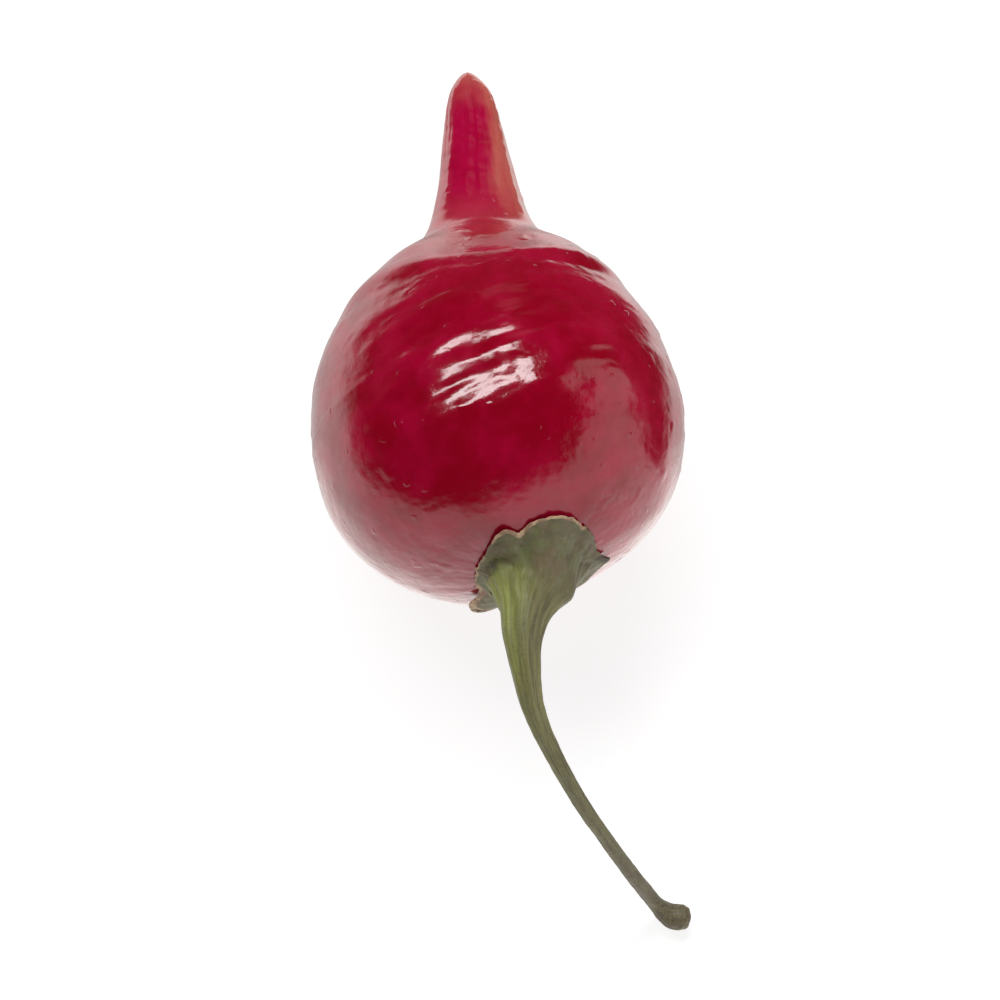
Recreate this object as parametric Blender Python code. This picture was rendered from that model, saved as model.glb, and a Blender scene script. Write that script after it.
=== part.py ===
"""A round, beaked chilli pepper as picked, lying on a surface: its pod, its calyx and its stem.

Metres, +Z up. The origin is on the surface, in the patch of skin that the pod rests on.
The beak points along +Y and the stem trails away towards -Y. The pepper rests on its ball,
on the tip of its beak and on the knob at the end of its stem.
"""

import math

import bmesh
import bpy
import numpy as np
from mathutils import Vector

# The pod: a ball that runs out into a beak. Lengths are measured from the ball's centre.
BALL_RADIUS = 0.0085
CROWN_DEPTH = 0.00785  # to the flattened end that carries the calyx
CROWN_POWER = 2.13  # 2 is an ellipse, and more is squarer at the shoulders
BEAK_REACH = 0.01810  # to the tip of the beak
TIP_LENGTH = 0.002  # the last stretch of the beak, which is domed
BEAK_OUTLINE = (  # distance along the beak, radius there
    (0.0000, BALL_RADIUS),
    (0.0025, 0.00810),
    (0.0050, 0.00685),
    (0.0063, 0.00593),
    (0.0073, 0.00494),
    (0.0082, 0.00393),
    (0.0091, 0.00298),
    (0.0102, 0.00236),
    (0.0118, 0.00188),
    (0.0138, 0.00156),
    (0.0158, 0.00127),
    (BEAK_REACH, 0.00095),
)
REST_HEIGHT = 0.00837  # of the ball's centre, with the skin pressed flat below it
ON_SURFACE = 1e-7  # skin this close to the surface counts as on it

# Directions from the ball's centre, as degrees round from +X and degrees above the surface.
CROWN_HEADING, CROWN_RISE = -77.5, 30.0
BEAK_HEADING, BEAK_RISE = 94.7, -26.2

# The calyx: a thin lobed cap on the crown, with a boss that the stem stands on.
GAP = 0.0003  # clearance between neighbouring pieces
CALYX_RADIUS = 0.0034
CALYX_LOBES = 5
LOBE_DEPTH = 0.09  # share of the radius
LOBE_TURN = 8.0  # of the first lobe from +X, in degrees
CALYX_SLIP = 0.07  # share of the radius by which the rim lies off the crown's axis, towards +Y
CALYX_RIM = 0.0004  # thickness at the rim
BOSS_RADIUS = 0.00175
BOSS_HEIGHT = 0.0010  # of its flat top above the crown
SEAT_HEIGHT = CROWN_DEPTH + BOSS_HEIGHT

# The stem: a trumpet off the boss, then a thin stalk that ends in a knob.
STALK_RADIUS = 0.00034
STEM_ROUTE = (  # after its foot on the boss
    (0.00142, -0.00875, 0.01356),
    (0.00120, -0.01020, 0.01406),
    (0.00142, -0.01195, 0.01395),
    (0.00228, -0.01430, 0.01260),
    (0.00358, -0.01670, 0.01030),
    (0.00498, -0.01880, 0.00740),
    (0.00628, -0.02060, 0.00420),
    (0.00712, -0.02165, 0.00170),
    (0.00774, -0.02228, 0.00077),
    (0.00872, -0.02245, 0.00056),
)
STEM_TAPER = (  # distance from the foot, radius there
    (0.0000, 0.00155),
    (0.0008, 0.00128),
    (0.0018, 0.00098),
    (0.0030, 0.00076),
    (0.0042, 0.00060),
    (0.0055, 0.00049),
    (0.0080, 0.00040),
    (0.0130, STALK_RADIUS),
)
KNOB = (  # distance from the end, radius there
    (0.0000, 0.00040),
    (0.0003, 0.00058),
    (0.0008, 0.00063),
    (0.0014, 0.00048),
    (0.0021, STALK_RADIUS),
)

# Fineness
POD_SIDES, CROWN_RINGS, BEAK_RINGS = 48, 14, 34
CROWDING = 1.25  # over 1 sets the beak's rings closer together towards its tip
CALYX_SIDES, CALYX_RINGS = 60, 7
STEM_STEP = 0.0005
STEM_RESOLUTION = 3  # of the half circle round the stem's side

# Finishes: colour, roughness
SKIN = (0.36, 0.004, 0.018, 1.0), 0.22
CALYX = (0.155, 0.150, 0.066, 1.0), 0.6
STEM = (0.150, 0.142, 0.070, 1.0), 0.6


def direction(heading, rise):
    """The unit vector at this heading round from +X and this rise above the surface, in degrees."""
    heading, rise = math.radians(heading), math.radians(rise)
    level = math.cos(rise)
    return Vector((level * math.cos(heading), level * math.sin(heading), math.sin(rise)))


BALL_CENTRE = Vector((0, 0, REST_HEIGHT))
CROWN = direction(CROWN_HEADING, CROWN_RISE)
BEAK = direction(BEAK_HEADING, BEAK_RISE)


def smooth(share):
    """0 to 1 with level ends."""
    share = min(max(share, 0.0), 1.0)
    return share * share * (3 - 2 * share)


def through(stations, at):
    """The height at one place of a smooth line through (place, height) stations."""
    places, heights = zip(*stations)
    slopes = np.gradient(heights, places)
    i = min(max(np.searchsorted(places, at) - 1, 0), len(places) - 2)
    step = places[i + 1] - places[i]
    t = min(max((at - places[i]) / step, 0.0), 1.0)
    ends = (2 * t**3 - 3 * t**2 + 1) * heights[i] + (3 * t**2 - 2 * t**3) * heights[i + 1]
    lean = (t**3 - 2 * t**2 + t) * slopes[i] + (t**3 - t**2) * slopes[i + 1]
    return float(ends + lean * step)


def pod_radius(along):
    """The pod's radius at a distance from the ball's centre, negative towards the crown."""
    if along < 0:
        return BALL_RADIUS * max(1 - (-along / CROWN_DEPTH) ** CROWN_POWER, 0) ** (1 / CROWN_POWER)
    into_tip = max((along - BEAK_REACH + TIP_LENGTH) / TIP_LENGTH, 0)
    return through(BEAK_OUTLINE, along) * math.sqrt(max(1 - into_tip**2, 0))


def crown_height(radius):
    """How far the crown's skin stands from the ball's centre, along the crown's axis."""
    return CROWN_DEPTH * (1 - (radius / BALL_RADIUS) ** CROWN_POWER) ** (1 / CROWN_POWER)


def ring(middle, axis, radius, sides):
    """Points of a ring about an axis. The first lies towards +X."""
    across = (Vector((1, 0, 0)) - axis * axis.x).normalized()
    upward = axis.cross(across)
    turns = [2 * math.pi * k / sides for k in range(sides)]
    return [middle + radius * (math.cos(a) * across + math.sin(a) * upward) for a in turns]


def skin_over(start, rings, end):
    """A bmesh stretched from a start point over rings of points to an end point."""
    bm = bmesh.new()
    first, last = bm.verts.new(start), bm.verts.new(end)
    loops = [[bm.verts.new(point) for point in points] for points in rings]
    sides = len(loops[0])
    for k in range(sides):
        n = (k + 1) % sides
        bm.faces.new((first, loops[0][n], loops[0][k]))
        bm.faces.new((last, loops[-1][k], loops[-1][n]))
        for near, far in zip(loops, loops[1:]):
            bm.faces.new((near[k], near[n], far[n], far[k]))
    bmesh.ops.recalc_face_normals(bm, faces=bm.faces)
    return bm


def material(name, finish):
    """A plain material from a finish."""
    colour, roughness = finish
    made = bpy.data.materials.new(name)
    made.use_nodes = True
    shader = made.node_tree.nodes["Principled BSDF"]
    shader.inputs["Base Color"].default_value = colour
    shader.inputs["Roughness"].default_value = roughness
    shader.inputs["Metallic"].default_value = 0.0
    made.diffuse_color = colour
    return made


def add_mesh(name, bm, finish):
    """Makes a smooth-shaded object from a bmesh, in a material of the same name."""
    mesh = bpy.data.meshes.new(name)
    bm.to_mesh(mesh)
    bm.free()
    mesh.shade_smooth()
    mesh.materials.append(material(name, finish))
    obj = bpy.data.objects.new(name, mesh)
    bpy.context.scene.collection.objects.link(obj)
    return obj


def make_pod():
    """The fleshy pod in one piece. Its rings turn from the crown's axis to the beak's."""
    crown = [-CROWN_DEPTH * math.cos(math.pi / 2 * k / CROWN_RINGS) for k in range(1, CROWN_RINGS)]
    beak = [BEAK_REACH * (1 - (1 - k / BEAK_RINGS) ** CROWDING) for k in range(BEAK_RINGS)]
    rings = []
    for along in crown + beak:
        axis = (-CROWN).slerp(BEAK, smooth(along / BALL_RADIUS))
        rings.append(ring(BALL_CENTRE + axis * along, axis, pod_radius(along), POD_SIDES))
    bm = skin_over(BALL_CENTRE + CROWN * CROWN_DEPTH, rings, BALL_CENTRE + BEAK * BEAK_REACH)
    press_flat(bm)
    return add_mesh("pod", bm, SKIN)


def press_flat(bm):
    """Flattens the skin where it meets the surface, under the ball and under the beak's tip."""
    everything = bm.verts[:] + bm.edges[:] + bm.faces[:]
    cut = bmesh.ops.bisect_plane(
        bm, geom=everything, dist=ON_SURFACE, plane_co=(0, 0, 0), plane_no=(0, 0, -1), clear_outer=True
    )
    edges = [e for e in cut["geom_cut"] if isinstance(e, bmesh.types.BMEdge)]
    bmesh.ops.holes_fill(bm, edges=edges, sides=0)
    bmesh.ops.recalc_face_normals(bm, faces=bm.faces)


def calyx_ring(share, upper):
    """A ring of the calyx's upper face or underside, at a share of the way from its boss to its rim."""
    points = []
    for k, outward in enumerate(ring(Vector(), CROWN, 1.0, CALYX_SIDES)):
        turn = 2 * math.pi * k / CALYX_SIDES
        lobes = LOBE_DEPTH * math.cos(CALYX_LOBES * (turn - math.radians(LOBE_TURN)))
        reach = CALYX_RADIUS * (1 + lobes + CALYX_SLIP * math.sin(turn))
        radius = BOSS_RADIUS + share * (reach - BOSS_RADIUS)
        height = crown_height(radius) + GAP
        if upper:
            height += CALYX_RIM
            height += smooth(1 - share) * (SEAT_HEIGHT - height)
        points.append(BALL_CENTRE + CROWN * height + outward * radius)
    return points


def make_calyx():
    """The green cap: five shallow lobes round a boss, with a flat seat for the stem."""
    shares = [k / CALYX_RINGS for k in range(CALYX_RINGS + 1)]
    rings = [calyx_ring(share, True) for share in shares]
    rings += [calyx_ring(share, False) for share in reversed(shares)]
    seat = BALL_CENTRE + CROWN * SEAT_HEIGHT
    underside = BALL_CENTRE + CROWN * (CROWN_DEPTH + GAP)
    return add_mesh("calyx", skin_over(seat, rings, underside), CALYX)


def stem_line():
    """Points along the middle of the stem, STEM_STEP apart, with the distance of each from the foot."""
    foot = BALL_CENTRE + CROWN * (SEAT_HEIGHT + GAP)
    route = np.array([foot, foot + CROWN * STEM_STEP, *STEM_ROUTE])
    lengths = np.concatenate([[0], np.cumsum(np.linalg.norm(np.diff(route, axis=0), axis=1))])
    count = round(lengths[-1] / STEM_STEP)
    for k in range(count + 1):
        at = lengths[-1] * k / count
        yield at, lengths[-1] - at, [through(list(zip(lengths, axis)), at) for axis in route.T]


def make_stem():
    """The stalk: a tapering tube with a knob where it left the plant."""
    curve = bpy.data.curves.new("stem", "CURVE")
    curve.dimensions = "3D"
    curve.bevel_depth = STALK_RADIUS
    curve.bevel_resolution = STEM_RESOLUTION
    curve.use_fill_caps = True
    line = list(stem_line())
    spline = curve.splines.new("POLY")
    spline.points.add(len(line) - 1)
    for point, (from_foot, from_end, place) in zip(spline.points, line):
        radius = max(through(STEM_TAPER, from_foot), through(KNOB, from_end))
        point.co = (*place, 1.0)
        point.radius = radius / STALK_RADIUS
    curve.materials.append(material("stem", STEM))
    obj = bpy.data.objects.new("stem", curve)
    bpy.context.scene.collection.objects.link(obj)
    return obj


def main():
    """Clears the scene and builds the pepper."""
    for obj in list(bpy.data.objects):
        bpy.data.objects.remove(obj)
    make_pod()
    make_calyx()
    make_stem()


main()
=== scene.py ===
"""The looks of a round, beaked chilli pepper that lies on a pale surface.

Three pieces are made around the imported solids: the glossy skin of the pod, the leathery calyx
and the ribbed stem. Lengths are in metres, +Z is up and the beak points along +Y.
"""

import logging
import math
from dataclasses import dataclass, field
from enum import Enum
from typing import Callable, Iterable, Sequence, Union

import bmesh
import bpy
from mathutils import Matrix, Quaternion, Vector, noise


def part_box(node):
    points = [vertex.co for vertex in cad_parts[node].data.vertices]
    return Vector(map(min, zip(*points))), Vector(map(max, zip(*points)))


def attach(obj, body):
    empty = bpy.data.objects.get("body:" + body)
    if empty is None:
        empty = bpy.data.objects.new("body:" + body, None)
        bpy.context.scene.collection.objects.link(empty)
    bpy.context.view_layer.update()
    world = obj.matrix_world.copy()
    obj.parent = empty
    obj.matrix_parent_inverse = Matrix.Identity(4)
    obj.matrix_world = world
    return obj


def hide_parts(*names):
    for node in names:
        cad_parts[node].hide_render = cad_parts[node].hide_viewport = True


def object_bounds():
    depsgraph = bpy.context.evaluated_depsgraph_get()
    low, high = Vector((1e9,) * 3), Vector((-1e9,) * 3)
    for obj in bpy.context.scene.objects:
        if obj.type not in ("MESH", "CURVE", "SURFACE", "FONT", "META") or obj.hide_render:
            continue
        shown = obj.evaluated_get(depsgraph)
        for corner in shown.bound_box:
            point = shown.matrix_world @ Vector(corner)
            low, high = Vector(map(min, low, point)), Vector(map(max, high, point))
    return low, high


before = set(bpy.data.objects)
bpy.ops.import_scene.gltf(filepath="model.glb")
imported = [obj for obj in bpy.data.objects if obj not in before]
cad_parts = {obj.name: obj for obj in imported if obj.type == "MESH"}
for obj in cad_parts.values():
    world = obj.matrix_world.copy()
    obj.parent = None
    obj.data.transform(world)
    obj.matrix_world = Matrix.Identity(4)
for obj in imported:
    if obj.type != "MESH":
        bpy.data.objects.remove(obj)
CAD_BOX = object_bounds()
BODY = "root"
MM = 0.001
CLOSE_SEAM = 2e-7  # points nearer than this are joined
FIBRES = 3.3  # how many fibres lie in a radian
FIBRE_LENGTH = 3 * MM
FRESH_FROM, FRESH_TO = 1.0 * MM, 6.5 * MM  # the fresh green fades out between these places on the stem
FRESH_FACING = (-0.15, 0.62)  # and between these cosines of the angle to its fresh side

log = logging.getLogger("pepper")

Value = Union["Flow", Vector, float, int, str, tuple, bpy.types.ID]
Station = tuple[float, float]
Zone = tuple[Station, Station]
Belt = tuple[float, float]
Hill = tuple[float, float, float]
Colour = tuple[float, float, float, float]


class Slot(Enum):
    """The record's material slots, one for each piece's finish."""

    SKIN = "skin"
    CALYX = "calyx"
    STEM = "stem"


# Shared mathematics


def direction(heading: float, rise: float) -> Vector:
    """The unit vector at a heading and a rise.

    Args:
        heading: degrees round from +X.
        rise: degrees above the surface.

    Returns:
        The vector.
    """
    heading, rise = math.radians(heading), math.radians(rise)
    level = math.cos(rise)
    return Vector((level * math.cos(heading), level * math.sin(heading), math.sin(rise)))


def around(axis: Vector, turn: float) -> Vector:
    """The unit vector square to an axis, at an angle about it.

    Args:
        axis: the axis, a unit vector.
        turn: the angle, in radians. At 0 the vector lies as near to +X as it can.

    Returns:
        The vector.
    """
    across = (Vector((1, 0, 0)) - axis * axis.x).normalized()
    return across * math.cos(turn) + axis.cross(across) * math.sin(turn)


def smoothstep(low: float, high: float, value: float) -> float:
    """0 at low and 1 at high, level at both ends."""
    share = min(max((value - low) / (high - low), 0.0), 1.0)
    return share * share * (3 - 2 * share)


def hill(place: float, middle: float, width: float) -> float:
    """A round hill: 1 in its middle, and 0.37 one width away."""
    return math.exp(-(((place - middle) / width) ** 2))


def hills_round(turn: float, *hills: Hill) -> float:
    """The height at an angle, in radians, of hills round a ring.

    Args:
        turn: the angle.
        hills: for each its place in degrees, its width in radians and its height.

    Returns:
        The sum of their heights there.
    """
    total = 0.0
    for degrees, width, height in hills:
        apart = (turn - math.radians(degrees) + math.pi) % (2 * math.pi) - math.pi
        total += height * hill(apart, 0.0, width)
    return total


def roughness(spot: Vector, layers: tuple[Station, ...]) -> float:
    """The sum of layers of noise at a spot, each with how fine and how high it is."""
    return sum(height * noise.noise(spot * fineness) for fineness, height in layers)


class Line:
    """A smooth line through stations: places in rising order, and a height at each."""

    def __init__(self, stations: Iterable[Station], period: float = 0.0) -> None:
        """Works out the slope at each station.

        Args:
            stations: (place, height) pairs in rising order of place.
            period: the length after which a closed line repeats, or 0 for an open one.
        """
        pairs = list(stations)
        if period:
            before = [(place - period, height) for place, height in pairs[-2:]]
            pairs = before + pairs + [(place + period, height) for place, height in pairs[:3]]
        self.period = period
        self.pairs = pairs
        last = len(pairs) - 1
        self.slopes = []
        for i in range(len(pairs)):
            (x0, y0), (x1, y1) = pairs[max(i - 1, 0)], pairs[min(i + 1, last)]
            self.slopes.append((y1 - y0) / (x1 - x0))

    def at(self, place: float) -> float:
        """Reads the line. Beyond an open line's ends it keeps its last height.

        Args:
            place: where to read it.

        Returns:
            The line's height there.
        """
        if self.period:
            start = self.pairs[2][0]
            place = start + (place - start) % self.period
        i = 0
        while i < len(self.pairs) - 2 and place > self.pairs[i + 1][0]:
            i += 1
        (x0, y0), (x1, y1) = self.pairs[i], self.pairs[i + 1]
        step = x1 - x0
        t = min(max((place - x0) / step, 0.0), 1.0)
        ends = (2 * t**3 - 3 * t**2 + 1) * y0 + (3 * t**2 - 2 * t**3) * y1
        lean = (t**3 - 2 * t**2 + t) * self.slopes[i] + (t**3 - t**2) * self.slopes[i + 1]
        return ends + lean * step


# Node trees


class Flow:
    """A value on its way through a node tree, which arithmetic can be written with."""

    def __init__(self, socket: bpy.types.NodeSocket) -> None:
        """Holds the socket that the value comes out of."""
        self.socket = socket

    @property
    def is_vector(self) -> bool:
        """True for a vector or a colour."""
        return self.socket.type in ("VECTOR", "RGBA")

    def __add__(self, other: Value) -> "Flow":
        """The sum."""
        return calculate("ADD", self, other)

    def __sub__(self, other: Value) -> "Flow":
        """The difference."""
        return calculate("SUBTRACT", self, other)

    def __rsub__(self, other: Value) -> "Flow":
        """The difference, with a plain number first."""
        return calculate("SUBTRACT", other, self)

    def __mul__(self, other: Value) -> "Flow":
        """The product. A number stretches a vector."""
        return calculate("MULTIPLY", self, other)

    def __truediv__(self, other: Value) -> "Flow":
        """The quotient."""
        return calculate("DIVIDE", self, other)

    __radd__ = __add__
    __rmul__ = __mul__

    def part(self, axis: int) -> "Flow":
        """Takes a vector apart.

        Args:
            axis: 0 for X, 1 for Y and 2 for Z.

        Returns:
            That coordinate.
        """
        node = self.socket.id_data.nodes.new("ShaderNodeSeparateXYZ")
        feed(node.inputs[0], self)
        return Flow(node.outputs[axis])


def feed(socket: bpy.types.NodeSocket, value: Value) -> None:
    """Links a flow to an input, or sets the input to a plain value.

    Args:
        socket: the input.
        value: what goes into it.
    """
    if isinstance(value, Flow):
        socket.id_data.links.new(value.socket, socket)
    elif socket.type == "VECTOR" and isinstance(value, (int, float)):
        socket.default_value = (value, value, value)
    else:
        socket.default_value = value


def calculate(operation: str, *values: Value) -> Flow:
    """Adds a Math node, or a Vector Math node where a value is a vector.

    Args:
        operation: the node's operation.
        values: flows and plain values, at least one of them a flow.

    Returns:
        The result.
    """
    tree = next(v.socket.id_data for v in values if isinstance(v, Flow))
    vectors = [isinstance(v, Vector) or isinstance(v, Flow) and v.is_vector for v in values]
    node = tree.nodes.new("ShaderNodeVectorMath" if any(vectors) else "ShaderNodeMath")
    node.operation = operation
    for socket, value in zip([s for s in node.inputs if s.enabled], values):
        feed(socket, value)
    return Flow(next(s for s in node.outputs if s.enabled))


class Graph:
    """A node tree while it is being built."""

    def __init__(self, tree: bpy.types.NodeTree) -> None:
        """Takes over a tree. Its group input, if it has inputs, is made on first use."""
        self.tree = tree
        self.source: bpy.types.Node | None = None

    @classmethod
    def group(cls, name: str, kind: str, inputs: dict[str, str], outputs: dict[str, str]) -> "Graph":
        """Makes an empty node group.

        Args:
            name: the group's name.
            kind: the tree's type, such as ShaderNodeTree.
            inputs: input names, each with the end of its socket type, such as Float.
            outputs: output names in the same way.

        Returns:
            The graph of the new group.
        """
        tree = bpy.data.node_groups.new(name, kind)
        for in_out, sockets in (("INPUT", inputs), ("OUTPUT", outputs)):
            for label, end in sockets.items():
                tree.interface.new_socket(label, in_out=in_out, socket_type="NodeSocket" + end)
        return cls(tree)

    def node(self, kind: str, inputs: dict[str, Value] | None = None, **settings: object) -> bpy.types.Node:
        """Adds a node.

        Args:
            kind: the node's type.
            inputs: a value for each named input that isn't left as it is.
            settings: the node's own properties.

        Returns:
            The node.
        """
        made = self.tree.nodes.new(kind)
        for name, setting in settings.items():
            setattr(made, name, setting)
        for name, value in (inputs or {}).items():
            feed(next(s for s in made.inputs if s.name == name and s.enabled), value)
        return made

    def flow(
        self, kind: str, inputs: dict[str, Value] | None = None, output: int = 0, **settings: object
    ) -> Flow:
        """Adds a node and gives one of its outputs, the first one unless told otherwise."""
        made = self.node(kind, inputs, **settings)
        return Flow([s for s in made.outputs if s.enabled][output])

    def given(self, name: str) -> Flow:
        """One of the group's own inputs.

        Args:
            name: the input's name.

        Returns:
            What comes in.
        """
        if self.source is None:
            self.source = self.tree.nodes.new("NodeGroupInput")
        return Flow(self.source.outputs[name])

    def give(self, results: dict[str, Flow]) -> None:
        """Links the group's outputs.

        Args:
            results: a flow for each output's name.
        """
        sink = self.tree.nodes.new("NodeGroupOutput")
        for name, value in results.items():
            feed(sink.inputs[name], value)

    def vector(self, x: Value, y: Value, z: Value) -> Flow:
        """A vector from three numbers."""
        return self.flow("ShaderNodeCombineXYZ", {"X": x, "Y": y, "Z": z})

    def ramp(self, value: Value, low: Value, high: Value) -> Flow:
        """0 at low and 1 at high, level at both ends. Low may be the larger."""
        given = {"Value": value, "From Min": low, "From Max": high}
        return self.flow("ShaderNodeMapRange", given, interpolation_type="SMOOTHSTEP")

    def zone(self, value: Value, limits: Zone) -> Flow:
        """1 in a zone and 0 beyond it. Millimetres: where it starts and is whole, then fades and ends."""
        (start, whole), (fading, end) = limits
        return self.ramp(value, start * MM, whole * MM) * self.ramp(value, end * MM, fading * MM)

    def noise(self, place: Value, size: float, seed: Value, detail: float = 2.0, crisp: float = 0.5) -> Flow:
        """Cloudy noise, mostly from 0.3 to 0.7.

        Args:
            place: the coordinates to read it at.
            size: how far apart its features are, in the units of those coordinates.
            seed: which of its patterns to use.
            detail: how many finer layers lie over it.
            crisp: how strong each finer layer is.

        Returns:
            The noise.
        """
        given = {"Vector": place, "W": seed, "Scale": 1 / size, "Detail": detail, "Roughness": crisp}
        return self.flow("ShaderNodeTexNoise", given, noise_dimensions="4D")

    def mix(self, share: Value, first: Value, second: Value) -> Flow:
        """A colour part of the way from one to another.

        Args:
            share: 0 for all of the first and 1 for all of the second.
            first: one colour.
            second: the other.

        Returns:
            The mixed colour.
        """
        made = self.node("ShaderNodeMix", data_type="RGBA")
        sockets = [s for s in made.inputs if s.enabled]
        for socket, value in zip(sockets, (share, first, second)):
            feed(socket, value)
        return Flow(next(s for s in made.outputs if s.enabled))

    def paint(self, ground: Value, *layers: tuple[Flow, Value]) -> Flow:
        """A ground with more colours laid over it in turn, each with its share.

        Args:
            ground: the colour under them all.
            layers: a share and a colour for each, the lowest first.

        Returns:
            The painted colour.
        """
        for share, colour in layers:
            ground = self.mix(share, ground, colour)
        return ground


class Growth(Graph):
    """A geometry tree, with the steps that the pieces have in common."""

    def __init__(self, name: str, inputs: dict[str, str]) -> None:
        """Makes the tree, with a geometry input and output, a Seed and a Finish.

        Args:
            name: the tree's name.
            inputs: its other input names, each with the end of its socket type, such as Float.
        """
        ends = {"Geometry": "Geometry", "Seed": "Float", "Finish": "Material", **inputs}
        super().__init__(Graph.group(name, "GeometryNodeTree", ends, {"Geometry": "Geometry"}).tree)
        self.tree.is_modifier = True

    def store(self, geometry: Flow, name: str, value: Flow) -> Flow:
        """Stores a value at each point under a name.

        Args:
            geometry: what to store it on.
            name: the name to store it under.
            value: a number or a vector.

        Returns:
            The geometry that carries it.
        """
        kind = "FLOAT_VECTOR" if value.is_vector else "FLOAT"
        given = {"Geometry": geometry, "Name": name, "Value": value}
        return self.flow("GeometryNodeStoreNamedAttribute", given, data_type=kind, domain="POINT")

    def stored(self, name: str, kind: str = "FLOAT") -> Flow:
        """Reads what store() kept."""
        return self.flow("GeometryNodeInputNamedAttribute", {"Name": name}, data_type=kind)

    def place(self) -> Flow:
        """Each point's position."""
        return self.flow("GeometryNodeInputPosition")

    def move(self, geometry: Flow, **change: Flow) -> Flow:
        """Moves each point, to a Position or by an Offset."""
        return self.flow("GeometryNodeSetPosition", {"Geometry": geometry, **change})

    def square(self, axis: Flow) -> tuple[Flow, Flow]:
        """The two unit vectors square to an axis, as around() gives them at 0 and at a right angle.

        Args:
            axis: the axis at each point, a unit vector.

        Returns:
            The vector as near to +X as it can be, and the one square to both.
        """
        across = calculate("NORMALIZE", self.vector(1.0, 0.0, 0.0) - axis * axis.part(0))
        return across, calculate("CROSS_PRODUCT", axis, across)

    def raise_skin(self, geometry: Flow, height: Flow) -> Flow:
        """Moves each point out along its normal."""
        return self.move(geometry, Offset=self.flow("GeometryNodeInputNormal") * height)

    def close(self, geometry: Flow) -> Flow:
        """Joins the points of a seam or a pole, which lie in one place."""
        given = {"Geometry": geometry, "Distance": CLOSE_SEAM}
        return self.flow("GeometryNodeMergeByDistance", given)

    def finish(self, geometry: Flow) -> None:
        """Shades the piece smooth, gives it its finish and ends the tree.

        Args:
            geometry: the piece in its last shape.
        """
        smooth = self.flow("GeometryNodeSetShadeSmooth", {"Geometry": geometry})
        real = self.flow("GeometryNodeRealizeInstances", {"Geometry": smooth})
        given = {"Geometry": real, "Material": self.given("Finish")}
        self.give({"Geometry": self.flow("GeometryNodeSetMaterial", given)})

    def grow(self, name: str, base: bpy.types.Object, values: dict[str, object]) -> bpy.types.Object:
        """Runs the tree on an object and keeps the result.

        Args:
            name: the new piece's name.
            base: the object that the tree starts from, which is removed.
            values: a value for each of the tree's named inputs.

        Returns:
            The piece, as a plain mesh.
        """
        modifier = base.modifiers.new(name, "NODES")
        modifier.node_group = self.tree
        for item in self.tree.interface.items_tree:
            if item.in_out == "INPUT" and item.name in values:
                modifier[item.identifier] = values[item.name]
        bpy.context.view_layer.update()
        depsgraph = bpy.context.evaluated_depsgraph_get()
        mesh = bpy.data.meshes.new_from_object(
            base.evaluated_get(depsgraph), preserve_all_data_layers=True, depsgraph=depsgraph
        )
        base.modifiers.remove(modifier)
        bpy.data.objects.remove(base)
        return add_object(name, mesh)


def add_object(name: str, data: bpy.types.ID) -> bpy.types.Object:
    """Puts data into the scene as an object of the same name.

    Args:
        name: the name of both.
        data: a mesh, a curve, a light or a camera.

    Returns:
        The object.
    """
    data.name = name
    obj = bpy.data.objects.new(name, data)
    bpy.context.scene.collection.objects.link(obj)
    return obj


def add_mesh(name: str, bm: bmesh.types.BMesh, material: bpy.types.Material) -> bpy.types.Object:
    """Turns a built mesh into an object.

    Args:
        name: the name of both.
        bm: the mesh, which is freed.
        material: its material.

    Returns:
        The object.
    """
    mesh = bpy.data.meshes.new(name)
    bm.to_mesh(mesh)
    bm.free()
    mesh.materials.append(material)
    return add_object(name, mesh)


def add_curve(name: str, points: Sequence[Vector], radii: Sequence[float]) -> bpy.types.Object:
    """A curve of straight runs between many points, with a radius at each.

    Args:
        name: the curve's name.
        points: where it runs.
        radii: its radius at each of them.

    Returns:
        Its object.
    """
    curve = bpy.data.curves.new(name, "CURVE")
    curve.dimensions = "3D"
    spline = curve.splines.new("POLY")
    spline.points.add(len(points) - 1)
    for target, point, radius in zip(spline.points, points, radii):
        target.co = (*point, 1.0)
        target.radius = radius
    return add_object(name, curve)


def hand_in(piece: bpy.types.Object, node: str, slot: Slot) -> None:
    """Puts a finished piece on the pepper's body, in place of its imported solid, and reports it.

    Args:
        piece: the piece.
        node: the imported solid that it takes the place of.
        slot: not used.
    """
    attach(piece, BODY)
    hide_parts(node)
    corners = [Vector(c) for c in piece.bound_box]
    size = [(max(c[i] for c in corners) - min(c[i] for c in corners)) / MM for i in range(3)]
    faces = len(piece.data.polygons)
    log.info("%s: %d faces, %.1f x %.1f x %.1f mm", piece.name, faces, *size)


# Finishes


def grain_group() -> bpy.types.NodeTree:
    """The fine grain of plant skin.

    Returns:
        A shader node group with inputs Place, Size and Seed and outputs Height and Blotch.
    """
    inputs = {"Place": "Vector", "Size": "Float", "Seed": "Float"}
    graph = Graph.group("plant_grain", "ShaderNodeTree", inputs, {"Height": "Float", "Blotch": "Float"})
    place = graph.given("Place") / graph.given("Size")
    fine = graph.noise(place, 1.0, graph.given("Seed"), detail=3.0, crisp=0.55)
    broad = graph.noise(place, 7.0, graph.given("Seed") + 7.0, detail=3.0, crisp=0.6)
    graph.give({"Height": fine, "Blotch": graph.ramp(broad, 0.32, 0.68)})
    return graph.tree


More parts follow.
